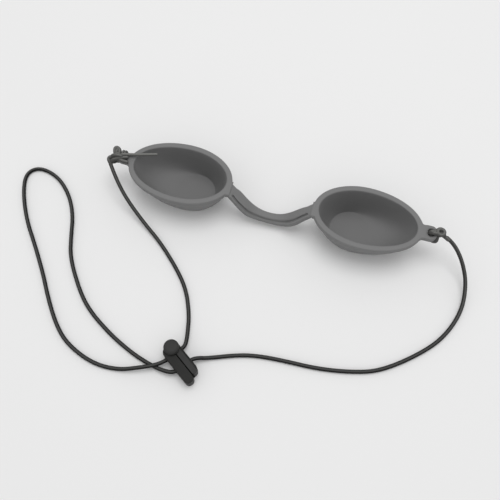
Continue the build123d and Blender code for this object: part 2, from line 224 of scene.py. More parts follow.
@dataclass(frozen=True)
class BraidedElastic:
    """Round elastic: a tight knitted cover over rubber, near black, dusty where it was tied. Its
    upward-facing top has a painted highlight, its sides and the braid's valleys painted shade.

    Attributes:
        painted_highlight_range: Upward tilt of the surface over which the painted shade of the
            sides turns to the painted highlight of the top.
        strands: Strands of the cover round the cord.
        stitch: Length of one stitch along the cord.
        painted_valley_shade_reach: Share of a stitch's height below which the valleys between
            strands get painted shade.
        painted_valley_shade_share: How far the deepest of the valleys turns to its painted shade
            colour.
        depth: Height of the strands over the valleys.
    """

    name: str = "elastic_cord_braided"
    # The side colours are painted shade and the top colours a painted highlight; the colour of the
    # braid's valleys is painted shade.
    painted_shade_side_colour: str = "#0E0E0E"
    painted_highlight_top_colour: str = "#484847"
    worn_painted_shade_side_colour: str = "#6C6C6A"
    worn_painted_highlight_top_colour: str = "#8A8A87"
    painted_valley_shade_colour: str = "#0B0B0B"
    painted_highlight_range: tuple[float, float] = (0.72, 1.0)
    strands: int = 8
    stitch: float = 1.1 * MM
    painted_valley_shade_reach: float = 0.35
    painted_valley_shade_share: float = 0.45
    depth: float = 0.06 * MM
    depth_strength: float = 0.6
    roughness: float = 0.5
    specular: float = 0.12

    def build(self) -> bpy.types.Material:
        """Make the material, with its braid on the cord's own round-and-along attribute.

        Returns:
            The finished material.
        """
        material, shader = start_material(self.name)
        tree = material.node_tree
        braid = self.braid(tree)
        cover = self.cover(tree)
        # Painted shade in the braid's valleys: the lower the cover, the darker.
        painted_valley_shade = add_node(
            tree, "ShaderNodeMapRange",
            inputs={
                "From Min": 0.0,
                "From Max": self.painted_valley_shade_reach,
                "To Min": self.painted_valley_shade_share,
                "To Max": 0.0,
            },
            links={"Value": braid},
        )
        shade = add_node(
            tree, "ShaderNodeMix", settings={"data_type": "RGBA"},
            inputs={7: linear(self.painted_valley_shade_colour)},
            links={0: painted_valley_shade.outputs["Result"], 6: cover},
        )
        tree.links.new(shade.outputs[2], shader.inputs["Base Color"])
        bump = add_node(
            tree, "ShaderNodeBump",
            inputs={"Strength": self.depth_strength, "Distance": self.depth},
            links={"Height": braid},
        )
        tree.links.new(bump.outputs["Normal"], shader.inputs["Normal"])
        shader.inputs["Roughness"].default_value = self.roughness
        shader.inputs["Specular IOR Level"].default_value = self.specular
        return material

    def braid(self, tree: bpy.types.NodeTree) -> bpy.types.NodeSocket:
        """Draw the braid: two sets of strands that wind round the cord in opposite ways.

        Args:
            tree: Node tree of the material.

        Returns:
            Socket with the height of the cover, from none in the valleys to one on the strands.
        """
        lay = add_node(
            tree, "ShaderNodeAttribute", settings={"attribute_name": Lay.ROUND_AND_ALONG.value}
        )
        parts = add_node(tree, "ShaderNodeSeparateXYZ", links={0: lay.outputs["Vector"]})
        turn = add_node(
            tree, "ShaderNodeMath", settings={"operation": "ARCTAN2"},
            links={0: parts.outputs["Y"], 1: parts.outputs["X"]},
        )
        round_phase = add_node(
            tree, "ShaderNodeMath", settings={"operation": "MULTIPLY"},
            inputs={1: self.strands / 2}, links={0: turn.outputs[0]},
        )
        along_phase = add_node(
            tree, "ShaderNodeMath", settings={"operation": "MULTIPLY"},
            inputs={1: 2 * pi / self.stitch}, links={0: parts.outputs["Z"]},
        )
        waves = []
        for operation in ("ADD", "SUBTRACT"):
            wave = add_node(
                tree, "ShaderNodeMath", settings={"operation": operation},
                links={0: round_phase.outputs[0], 1: along_phase.outputs[0]},
            )
            for shaping in ("SINE", "ABSOLUTE"):
                wave = add_node(
                    tree, "ShaderNodeMath", settings={"operation": shaping},
                    links={0: wave.outputs[0]},
                )
            waves.append(wave.outputs[0])
        crossed = add_node(
            tree, "ShaderNodeMath", settings={"operation": "MULTIPLY"},
            links={0: waves[0], 1: waves[1]},
        )
        return crossed.outputs[0]

    def cover(self, tree: bpy.types.NodeTree) -> bpy.types.NodeSocket:
        """Colour the cover by its wear, with a painted highlight where the surface faces up and
        painted shade on its sides.

        Args:
            tree: Node tree of the material.

        Returns:
            Socket with the cover's colour, painted highlight and shade included.
        """
        worn = add_node(tree, "ShaderNodeAttribute", settings={"attribute_name": Lay.WORN.value})
        height = add_node(
            tree, "ShaderNodeAttribute", settings={"attribute_name": Lay.UPPER_SIDE.value}
        )
        # Painted highlight: the more the surface faces up, the more the shaded side colour turns to
        # the lit top colour.
        painted_highlight_share = add_node(
            tree, "ShaderNodeMapRange", settings={"interpolation_type": "SMOOTHSTEP"},
            inputs={"From Min": self.painted_highlight_range[0], "From Max": self.painted_highlight_range[1]},
            links={"Value": height.outputs["Fac"]},
        )
        # Painted shade for the sides and painted highlight for the top, each fresh and worn.
        side, top = (
            add_node(
                tree, "ShaderNodeMix", settings={"data_type": "RGBA"},
                inputs={6: linear(fresh), 7: linear(old)}, links={0: worn.outputs["Fac"]},
            )
            for fresh, old in (
                (self.painted_shade_side_colour, self.worn_painted_shade_side_colour),
                (self.painted_highlight_top_colour, self.worn_painted_highlight_top_colour),
            )
        )
        cover = add_node(
            tree, "ShaderNodeMix", settings={"data_type": "RGBA"},
            links={0: painted_highlight_share.outputs["Result"], 6: side.outputs[2], 7: top.outputs[2]},
        )
        return cover.outputs[2]


@dataclass(frozen=True)
class MouldedNylon:
    """Nylon of the cord lock: dark grey, a little cloudy, with a spark-eroded mould's fine grit."""

    name: str = "nylon_moulded_dark"
    body_colour: str = "#222221"
    worn_colour: str = "#292928"
    cloud_size: float = 3 * MM
    cloud_detail: float = 3.0
    grit: float = 0.16 * MM
    grit_detail: float = 1.0
    depth: float = 0.02 * MM
    depth_strength: float = 0.5
    roughness: float = 0.5
    ior: float = 1.53
    specular: float = 0.12

    def build(self) -> bpy.types.Material:
        """Make the material.

        Returns:
            The finished material.
        """
        material, shader = start_material(self.name)
        tree = material.node_tree
        place = add_node(tree, "ShaderNodeTexCoord").outputs["Object"]
        cloud = add_node(
            tree, "ShaderNodeTexNoise",
            inputs={"Scale": 1 / self.cloud_size, "Detail": self.cloud_detail},
            links={"Vector": place},
        )
        colours = add_node(
            tree, "ShaderNodeMix", settings={"data_type": "RGBA"},
            inputs={6: linear(self.body_colour), 7: linear(self.worn_colour)},
            links={0: cloud.outputs["Fac"]},
        )
        tree.links.new(colours.outputs[2], shader.inputs["Base Color"])
        grain = add_node(
            tree, "ShaderNodeTexNoise",
            inputs={"Scale": 1 / self.grit, "Detail": self.grit_detail},
            links={"Vector": place},
        )
        bump = add_node(
            tree, "ShaderNodeBump",
            inputs={"Strength": self.depth_strength, "Distance": self.depth},
            links={"Height": grain.outputs["Fac"]},
        )
        tree.links.new(bump.outputs["Normal"], shader.inputs["Normal"])
        shader.inputs["Roughness"].default_value = self.roughness
        shader.inputs["IOR"].default_value = self.ior
        shader.inputs["Specular IOR Level"].default_value = self.specular
        return material


@dataclass(frozen=True)
class SpringWire:
    """Drawn spring steel: bright wire whose gloss changes finely from spot to spot."""

    name: str = "spring_wire_drawn"
    colour: str = "#B4B4B6"
    mark_width: float = 0.05 * MM
    mark_detail: float = 1.0
    roughness_low: float = 0.2
    roughness_high: float = 0.36

    def build(self) -> bpy.types.Material:
        """Make the material.

        Returns:
            The finished material.
        """
        material, shader = start_material(self.name)
        tree = material.node_tree
        place = add_node(tree, "ShaderNodeTexCoord").outputs["Object"]
        marks = add_node(
            tree, "ShaderNodeTexNoise",
            inputs={"Scale": 1 / self.mark_width, "Detail": self.mark_detail},
            links={"Vector": place},
        )
        rough = add_node(
            tree, "ShaderNodeMapRange",
            inputs={"To Min": self.roughness_low, "To Max": self.roughness_high},
            links={"Value": marks.outputs["Fac"]},
        )
        tree.links.new(rough.outputs["Result"], shader.inputs["Roughness"])
        shader.inputs["Base Color"].default_value = linear(self.colour)
        shader.inputs["Metallic"].default_value = 1.0
        return material


@dataclass(frozen=True)
class PaleTable:
    """Matt white card that the goggles lie on."""

    name: str = "card_matt_white"
    colour: str = "#EBEBEB"
    roughness: float = 0.9
    specular: float = 0.1

    def build(self) -> bpy.types.Material:
        """Make the material.

        Returns:
            The finished material.
        """
        material, shader = start_material(self.name)
        shader.inputs["Base Color"].default_value = linear(self.colour)
        shader.inputs["Roughness"].default_value = self.roughness
        shader.inputs["Specular IOR Level"].default_value = self.specular
        return material


@dataclass(frozen=True)
class Finishes:
    """All finishes of the scene. The lock's slider is nylon a little lighter than the body's."""

    moulding: bpy.types.Material
    elastic: bpy.types.Material
    nylon: bpy.types.Material
    rubbed_nylon: bpy.types.Material
    wire: bpy.types.Material
    table: bpy.types.Material

    @classmethod
    def make(cls) -> "Finishes":
        """Build every finish once.

        Returns:
            The finishes.
        """
        rubbed = MouldedNylon("nylon_moulded_lighter", body_colour="#303030", worn_colour="#3A3A39")
        return cls(
            moulding=SoftMoulding().build(),
            elastic=BraidedElastic().build(),
            nylon=MouldedNylon().build(),
            rubbed_nylon=rubbed.build(),
            wire=SpringWire().build(),
            table=PaleTable().build(),
        )


@dataclass
class PhotoCamera:
    """Camera at the photograph's place, from the outlines of the two cups.

    The image is taken as 500 by 500 pixels.
    """

    place: Vector = mm(26.85, -121.91, 243.38)
    forward: Vector = Vector((-0.1159, 0.3834, -0.9163))
    right: Vector = Vector((0.962, 0.2729, -0.0075))
    focal_px: float = 630.69
    image_px: float = 500.0
    sensor_mm: float = 36.0
    nearest: float = 0.005
    furthest: float = 20.0

    def build(self) -> None:
        """Make the camera and use it for the scene."""
        data = bpy.data.cameras.new("photo_camera")
        data.sensor_width = self.sensor_mm
        data.lens = self.sensor_mm * self.focal_px / self.image_px
        data.clip_start = self.nearest
        data.clip_end = self.furthest
        camera = bpy.data.objects.new("photo_camera", data)
        bpy.context.scene.collection.objects.link(camera)
        back = -self.forward.normalized()
        side = (self.right - back * self.right.dot(back)).normalized()
        up = back.cross(side)
        turn = Matrix((side, up, back)).transposed().to_4x4()
        camera.matrix_world = Matrix.Translation(self.place) @ turn
        bpy.context.scene.camera = camera


@dataclass
class Studio:
    """Plain soft light on a pale table: one broad lamp overhead, a little behind, an even sky."""

    table_size: float = 3.0
    sky_colour: str = "#FFFFFF"
    sky_strength: float = 0.68
    backdrop_colour: str = "#EBEBEB"
    backdrop_strength: float = 1.0
    lamp_size: float = 0.65
    lamp_power: float = 3.05
    lamp_place: Vector = Vector((0.02, 0.14, 0.89))
    lamp_aim: Vector = Vector((0.0, -0.02, 0.0))

    def build(self, finishes: Finishes) -> None:
        """Make the table, the lamp and the sky.

        Args:
            finishes: Finishes of the scene; the table takes its own from there.
        """
        self.lay_table(finishes.table)
        self.hang_lamp()
        self.light_sky()

    def lay_table(self, material: bpy.types.Material) -> None:
        """Lay the table just under the goggles.

        Args:
            material: The table's finish.
        """
        mesh = bpy.data.meshes.new("table")
        shape = bmesh.new()
        bmesh.ops.create_grid(shape, x_segments=1, y_segments=1, size=self.table_size / 2)
        shape.to_mesh(mesh)
        shape.free()
        mesh.materials.append(material)
        table = bpy.data.objects.new("table", mesh)
        table.location.z = -FLOOR_CLEARANCE
        bpy.context.scene.collection.objects.link(table)

    def hang_lamp(self) -> None:
        """Hang the round lamp and aim it at the goggles."""
        lamp = bpy.data.lights.new("soft_lamp", "AREA")
        lamp.shape = "DISK"
        lamp.size = self.lamp_size
        lamp.energy = self.lamp_power
        holder = bpy.data.objects.new("soft_lamp", lamp)
        aim = (self.lamp_aim - self.lamp_place).to_track_quat("-Z", "Y")
        holder.matrix_world = Matrix.Translation(self.lamp_place) @ aim.to_matrix().to_4x4()
        bpy.context.scene.collection.objects.link(holder)

    def light_sky(self) -> None:
        """Light the scene evenly, with the backdrop's colour for what is seen or mirrored."""
        world = bpy.data.worlds.new("even_sky")
        bpy.context.scene.world = world
        world.use_nodes = True
        tree = world.node_tree
        tree.nodes.clear()
        light = add_node(
            tree, "ShaderNodeBackground",
            inputs={"Color": linear(self.sky_colour), "Strength": self.sky_strength},
        )
        backdrop = add_node(
            tree, "ShaderNodeBackground",
            inputs={"Color": linear(self.backdrop_colour), "Strength": self.backdrop_strength},
        )
        path = add_node(tree, "ShaderNodeLightPath")
        seen = add_node(
            tree, "ShaderNodeMath", settings={"operation": "MAXIMUM"},
            links={0: path.outputs["Is Camera Ray"], 1: path.outputs["Is Glossy Ray"]},
        )
        shown = add_node(
            tree, "ShaderNodeMath", settings={"operation": "MAXIMUM"},
            links={0: seen.outputs[0], 1: path.outputs["Is Transmission Ray"]},
        )
        mix = add_node(
            tree, "ShaderNodeMixShader",
            links={0: shown.outputs[0], 1: light.outputs[0], 2: backdrop.outputs[0]},
        )
        add_node(tree, "ShaderNodeOutputWorld", links={"Surface": mix.outputs[0]})


def smooth_line(route: Route, closed: bool = False, steps: int = 14) -> list[Vector]:
    """Points of the NURBS spline that has a route's points as its control points.

    Args:
        route: Control points in millimetres.
        closed: Whether the line runs back into its start.
        steps: Divisions for each control point.

    Returns:
        Points along the spline in metres, close together.
    """
    data = bpy.data.curves.new("line", "CURVE")
    data.dimensions = "3D"
    data.resolution_u = steps
    spline = data.splines.new("NURBS")
    spline.points.add(len(route) - 1)
    for slot, point in zip(spline.points, route):
        slot.co = (*mm(*point), 1.0)
    spline.use_cyclic_u = closed
    spline.order_u = 3
    spline.use_endpoint_u = not closed
    holder = bpy.data.objects.new("line", data)
    mesh = bpy.data.meshes.new_from_object(holder)
    line = [vertex.co.copy() for vertex in mesh.vertices]
    bpy.data.meshes.remove(mesh)
    bpy.data.objects.remove(holder)
    bpy.data.curves.remove(data)
    return line


def line_length(line: list[Vector]) -> float:
    """Length of a line of points."""
    return sum((after - before).length for before, after in zip(line, line[1:]))


def add_object(
    name: str, shape: bmesh.types.BMesh, material: bpy.types.Material
) -> bpy.types.Object:
    """Put a finished shape into the scene as one smooth-shaded piece.

    Args:
        name: Name of the piece.
        shape: Its mesh, freed here.
        material: Its finish.

    Returns:
        The new object, at the origin.
    """
    mesh = bpy.data.meshes.new(name)
    shape.to_mesh(mesh)
    shape.free()
    mesh.materials.append(material)
    mesh.shade_smooth()
    piece = bpy.data.objects.new(name, mesh)
    bpy.context.scene.collection.objects.link(piece)
    return piece


@dataclass
class Tube:
    """Round tube along a line, with the attributes that the elastic's finish reads.

    Attributes:
        worn_run: Distance from an end over which its wear fades out.
        cap_steps: Rings of a rounded end.
        cap_limit: Angle of the last ring of a rounded end, a little short of its pole.
        merge_share: Share of the radius within which a closed tube's last ring joins its first.
    """

    line: list[Vector]
    radius: float
    segments: int = 20
    closed: bool = False
    rounded_start: bool = False
    rounded_end: bool = False
    worn_start: float = 0.0
    worn_end: float = 0.0
    worn_run: float = 50 * MM
    cap_steps: int = 4
    cap_limit: float = radians(86)
    merge_share: float = 0.02

    def frames(self) -> list[tuple[Matrix, float]]:
        """Place circles along the tube, turned as little as possible from one to the next.

        Returns:
            Matrices that take a unit circle to each ring, with the distance along the line.
        """
        points = list(self.line)
        if self.closed:
            points.append(points[0].copy())
        last = len(points) - 1
        tangents = []
        for index in range(last + 1):
            before = points[index - 1] if index else points[-2 if self.closed else 0]
            after = points[index + 1] if index < last else points[1 if self.closed else -1]
            tangents.append((after - before).normalized())
        side = tangents[0].orthogonal().normalized()
        placed = []
        along = 0.0
        for index, (point, tangent) in enumerate(zip(points, tangents)):
            if index:
                along += (point - points[index - 1]).length
                side = tangents[index - 1].rotation_difference(tangent) @ side
                side = (side - tangent * side.dot(tangent)).normalized()
            placed.append((self.ring(point, tangent, side, self.radius), along))
        if self.closed:
            return placed
        caps = [step / self.cap_steps * pi / 2 for step in range(1, self.cap_steps)]
        caps.append(self.cap_limit)
        if self.rounded_end:
            for angle in caps:
                place = points[-1] + tangents[-1] * self.radius * sin(angle)
                placed.append(
                    (self.ring(place, tangents[-1], side, self.radius * cos(angle)), along)
                )
        if self.rounded_start:
            side = placed[0][0].to_3x3().col[0].normalized()
            opening = []
            for angle in reversed(caps):
                place = points[0] - tangents[0] * self.radius * sin(angle)
                opening.append(
                    (self.ring(place, tangents[0], side, self.radius * cos(angle)), 0.0)
                )
            placed = opening + placed
        return placed

    @staticmethod
    def ring(place: Vector, tangent: Vector, side: Vector, radius: float) -> Matrix:
        """Matrix of one ring across the tube.

        Args:
            place: Middle of the ring.
            tangent: Direction of the tube there.
            side: Direction of the ring's first point.
            radius: Radius of the ring.

        Returns:
            The matrix that takes the unit circle in XY to the ring.
        """
        across = tangent.cross(side)
        turn = Matrix((side * radius, across * radius, tangent * radius)).transposed().to_4x4()
        return Matrix.Translation(place) @ turn

    def add_to(self, shape: bmesh.types.BMesh) -> None:
        """Extrude the tube ring by ring into a mesh.

        Args:
            shape: Mesh that the tube joins.
        """
        lay = shape.verts.layers.float_vector.get(Lay.ROUND_AND_ALONG.value)
        if lay is None:
            lay = shape.verts.layers.float_vector.new(Lay.ROUND_AND_ALONG.value)
        worn, upper = (
            shape.verts.layers.float.get(name) or shape.verts.layers.float.new(name)
            for name in (Lay.WORN.value, Lay.UPPER_SIDE.value)
        )
        placed = self.frames()
        whole = placed[-1][1]
        made = bmesh.ops.create_circle(
            shape, cap_ends=not self.closed, segments=self.segments, radius=1.0,
            matrix=placed[0][0],
        )
        ring = made["verts"]
        edges = [
            edge
            for edge in {edge for vertex in ring for edge in vertex.link_edges}
            if all(vertex in ring for vertex in edge.verts)
        ]
        first_edges = list(edges)
        for number, (matrix, along) in enumerate(placed):
            if number:
                previous = placed[number - 1][0]
                made = bmesh.ops.extrude_edge_only(shape, edges=edges)
                ring = [item for item in made["geom"] if isinstance(item, bmesh.types.BMVert)]
                edges = [item for item in made["geom"] if isinstance(item, bmesh.types.BMEdge)]
                bmesh.ops.transform(shape, matrix=matrix @ previous.inverted(), verts=ring)
            back = matrix.inverted()
            near_start = max(0.0, 1 - along / self.worn_run)
            near_end = max(0.0, 1 - (whole - along) / self.worn_run)
            wear = max(self.worn_start * near_start, self.worn_end * near_end)
            for vertex in ring:
                local = back @ vertex.co
                vertex[lay] = (local.x, local.y, along)
                vertex[worn] = wear
                # Upward tilt of the surface here, read by the elastic's painted highlight and
                # shade.
                vertex[upper] = (vertex.co - matrix.translation).normalized().z
        if self.closed:
            bmesh.ops.bridge_loops(shape, edges=edges + first_edges)
            bmesh.ops.remove_doubles(
                shape, verts=list(shape.verts), dist=self.radius * self.merge_share
            )
        else:
            bmesh.ops.contextual_create(shape, geom=edges)


@dataclass
class ElasticCord:
    """The elastic cord in its three lengths, as it lies in the photograph.

    Attributes:
        ear_wear: How dusty a strand is at its ear tab.
        left_give: Where the left strand would start to follow its cup, and where it would follow it
            wholly. Not used.
        right_give: The same of the right strand. Not used.
    """

    finishes: Finishes
    diameter: float = 1.6 * MM
    ear_wear: float = 0.3
    left_give: tuple[Point, Point] = ((-34, -32, 0.8), (-69, -5.5, 12))
    right_give: tuple[Point, Point] = ((84, -30, 0.8), (72.5, 0.5, 13))
    left_route: Route = (
        (-70.57, -2.6, 13), (-66.97, -7.41, 10.6), (-60.7, -13.72, 6.4), (-50.67, -20.97, 2.2),
        (-41.67, -26.91, 0.8), (-30.87, -36.69, 0.8), (-24.19, -44.41, 0.8),
        (-19.97, -53.49, 0.8), (-18.18, -60.08, 0.9), (-16.8, -66.4, 2.6),
        (-17.374, -68.466, 2.8), (-19.73, -71.821, 2.8),
    )
    loop_route: Route = (
        (-19.73, -71.821, 2.8), (-22.821, -76.37, 2.8), (-31.2, -80.4, 2.9), (-39.8, -83.2, 0.8),
        (-50.33, -83.32, 0.8), (-62.24, -78.88, 0.8), (-69.52, -72.82, 0.8), (-76.85, -63.6, 0.8),
        (-83.59, -53.59, 0.8), (-92.02, -42.6, 0.8), (-100.13, -32.76, 0.8),
        (-107.09, -20.88, 0.8), (-109.96, -11.42, 0.8), (-105.14, -6.87, 0.8),
        (-95.52, -9.15, 0.8), (-87.29, -16.27, 0.8), (-81.84, -25.07, 0.8), (-78.61, -35.29, 0.8),
        (-75.36, -43.94, 0.8), (-67.26, -55.12, 0.8), (-59.81, -62.95, 0.8), (-47.96, -70.2, 0.8),
        (-38, -74.7, 0.8), (-30.89, -77.05, 0.8), (-22.9, -78.9, 2.0), (-16.85, -78.614, 2.8),
        (-14.85, -75.138, 2.8),
    )
    right_route: Route = (
        (72.15, 0.88, 13.25), (75.42, 0.09, 11.7), (80.68, -4.9, 8.3), (84.83, -12.59, 3.8),
        (85.34, -23.93, 0.8), (79.71, -36.9, 0.8), (70.44, -46.75, 0.8), (58.46, -55.97, 0.8),
        (48.36, -59.35, 0.8), (35.36, -61.67, 0.8), (22.17, -62.16, 0.8), (12.19, -62.95, 0.8),
        (4.27, -64.67, 0.8), (-7.5, -69.4, 1.0), (-10.677, -70.599, 2.6), (-12.626, -71.813, 2.8),
        (-13.469, -73.053, 2.8), (-14.85, -75.138, 2.8),
    )

    def strand(
        self, name: str, route: Route, worn_start: float
    ) -> tuple[bpy.types.Object, list[Vector]]:
        """Tube of cord along one route.

        Args:
            name: Name of the piece.
            route: Control points in millimetres.
            worn_start: How dusty the cord is at the route's start.

        Returns:
            The piece and the points of its middle line.
        """
        line = smooth_line(route)
        shape = bmesh.new()
        Tube(line, self.diameter / 2, worn_start=worn_start).add_to(shape)
        bmesh.ops.recalc_face_normals(shape, faces=list(shape.faces))
        piece = add_object(name, shape, self.finishes.elastic)
        log.info("%s: %.1f mm", name, line_length(line) / MM)
        return piece, line

    def build(self, knots: dict[str, bpy.types.Object]) -> None:
        """Args:
            knots: The finished knots, by the side that they are on. Not used.
        """
        left, left_line = self.strand("left_strand", self.left_route, self.ear_wear)
        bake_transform(left)
        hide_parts("left_cord_strand")

        loop, loop_line = self.strand("head_loop", self.loop_route, 0.0)
        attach(loop, "bridge")
        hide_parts("head_loop_cord")

        right, right_line = self.strand("right_strand", self.right_route, self.ear_wear)
        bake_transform(right)
        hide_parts("right_cord_strand")


@dataclass
class EarKnots:
    """Knots at the ear tabs: a loop through the tab's hole, folds past its tip and a cut tail.

    Attributes:
        radius: Radius of the cord in the folds.
        tail_radius: Radius of the cord where it is pulled thin, in the tail and the wraps.
        wear: How dusty the folds and wraps are.
        tail_wear: How dusty the tail is.
        worn_run: A run so long that a knot's short lengths are worn nearly evenly.
        fold_steps: Divisions for each control point of a fold or wrap.
        wrap_places: X of the two wraps round the far edge of the left tab, in millimetres.
        wrap_reach: Y that the wraps reach to, in millimetres.
    """

    finishes: Finishes
    radius: float = 0.8 * MM
    tail_radius: float = 0.6 * MM
    wear: float = 0.55
    tail_wear: float = 0.85
    worn_run: float = 1.0
    fold_steps: int = 10
    wrap_places: tuple[float, float] = (-65.9, -64.9)
    wrap_reach: float = 3.3
    left_tail: Route = (
        (-67.3, -0.1, 15.7), (-66.04, 0.87, 16.2), (-63.38, 1.53, 16.3), (-57.6, 2.97, 16.3),
        (-51.9, 4.7, 16.3),
    )
    left_folds: tuple[Fold, ...] = (
        (((-65.2, 0.3, 13.8), (-65.0, -0.1, 16.3), (-67.6, -0.2, 16.9), (-69.9, -0.3, 15.6),
          (-70.4, -0.6, 13.8), (-69.8, -0.5, 12.0), (-67.4, 0.2, 11.2), (-65.6, 1.2, 11.3)), True),
        (((-66.2, 0.4, 12.8), (-66.2, 0.5, 15.2), (-66.8, 0.7, 16.5), (-68.4, 0.5, 16.3),
          (-69.4, 0.6, 14.6), (-69.3, 0.9, 12.8), (-67.6, 1.6, 11.5), (-65.8, 1.9, 11.4)), True),
        (((-68.35, -0.37, 14.6), (-69.24, 1.19, 15.3), (-70.0, 3.12, 15.8),
          (-69.18, 3.83, 16.0), (-67.62, 2.99, 15.9), (-67.17, 1.06, 15.9),
          (-67.43, -0.26, 15.3)), False),
        (((-68.6, 0.2, 15.2), (-68.6, 1.6, 15.6), (-68.7, 3.1, 15.8)), False),
        (((-70.3, -2.0, 13.6), (-69.2, -1.8, 14.8), (-67.8, -1.2, 15.4),
          (-66.4, -0.9, 15.8), (-65.0, -0.3, 16.0), (-63.6, 0.2, 15.9)), False),
        (((-67.2, -1.2, 14.4), (-66.0, -1.5, 15.6), (-64.4, -1.9, 15.9),
          (-62.9, -1.9, 15.9)), False),
        (((-70.1, -2.9, 13.0), (-70.92, -2.46, 13.7), (-71.59, -1.08, 14.3),
          (-69.91, -0.38, 14.9), (-68.09, -0.52, 15.1)), False),
        (((-70.2, -2.4, 13.2), (-69.6, -1.9, 13.2), (-68.7, -1.3, 12.7), (-68.4, 0.3, 12.6),
          (-69.4, 1.1, 13.6)), False),
    )
    right_folds: tuple[Fold, ...] = (
        (((65.0, 0.3, 13.8), (64.95, 0.2, 16.2), (66.4, 0.4, 16.3), (68.3, 0.4, 15.4),
          (69.9, 1.1, 14.8), (70.0, 1.3, 13.2), (67.6, 1.2, 11.4), (65.3, 1.4, 11.3)), True),
        (((66.2, 0.4, 12.8), (66.2, 0.6, 15.4), (66.9, 0.9, 16.3), (67.8, 0.9, 15.4),
          (68.9, 0.9, 14.0), (68.9, 1.0, 12.8), (67.4, 1.7, 11.5), (65.9, 1.8, 11.4)), True),
        (((70.5, 1.5, 15.8), (69.9, 2.2, 16.0), (68.8, 2.4, 16.2), (67.8, 1.8, 16.3),
          (67.6, 0.8, 16.3), (68.2, 0.0, 16.1), (69.4, -0.2, 15.9), (70.3, 0.5, 15.8)), True),
        (((68.2, 1.7, 14.2), (69.3, 1.5, 15.3), (70.3, 1.2, 15.1), (71.0, 1.0, 14.0)), False),
        (((64.9, 0.5, 13.0), (65.0, 0.3, 15.4), (65.9, -0.1, 16.1), (67.2, 0.0, 16.3),
          (68.2, 0.2, 16.0)), False),
        (((72.9, 0.3, 12.9), (71.6, 0.8, 13.4), (70.28, 1.12, 13.9), (69.3, 1.0, 14.4),
          (68.9, 0.9, 15.0)), False),
        (((65.0, 0.4, 12.8), (65.2, 0.1, 14.6), (66.2, 0.1, 14.7), (66.5, 0.5, 13.0)), False),
        (((66.9, -1.2, 11.6), (68.2, -1.7, 12.0), (68.6, -0.8, 13.0), (68.2, 0.0, 14.4)), False),
    )

    def left_wraps(self) -> list[Route]:
        """Lead the two wraps of the left knot from inside it round the tab's far edge.

        Returns:
            Closed routes in millimetres.
        """
        return [
            ((-65.4, 0.7, 13.9), (place, 0.5, 16.2), (place, self.wrap_reach, 16.0),
             (place, self.wrap_reach, 12.0), (-65.2, 0.5, 11.8))
            for place in self.wrap_places
        ]

    def add_turn(
        self, shape: bmesh.types.BMesh, route: Route, closed: bool, radius: float
    ) -> None:
        """Add one fold or wrap of a knot to its mesh.

        Args:
            shape: Mesh of the knot.
            route: Control points in millimetres.
            closed: Whether the turn runs back into its start.
            radius: Radius of its cord.
        """
        line = smooth_line(route, closed=closed, steps=self.fold_steps)
        Tube(
            line, radius, closed=closed, rounded_start=not closed, rounded_end=not closed,
            worn_start=self.wear, worn_end=self.wear, worn_run=self.worn_run,
        ).add_to(shape)

    def build(self) -> dict[str, bpy.types.Object]:
        """Make both knots.

        Returns:
            The knots by the side that they are on.
        """
        knots = {}
        for side, folds in (("left", self.left_folds), ("right", self.right_folds)):
            shape = bmesh.new()
            for route, closed in folds:
                self.add_turn(shape, route, closed, self.radius)
            if side == "left":
                for route in self.left_wraps():
                    self.add_turn(shape, route, True, self.tail_radius)
                Tube(
                    smooth_line(self.left_tail), self.tail_radius, rounded_end=True,
                    worn_start=self.tail_wear, worn_end=self.tail_wear, worn_run=self.worn_run,
                ).add_to(shape)
            bmesh.ops.recalc_face_normals(shape, faces=list(shape.faces))
            knot = add_object(f"{side}_knot", shape, self.finishes.elastic)
            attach(knot, f"{side}_cup")
            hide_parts(f"{side}_cord_knot")
            log.info("%s: %d faces", knot.name, len(knot.data.polygons))
            knots[side] = knot
        return knots


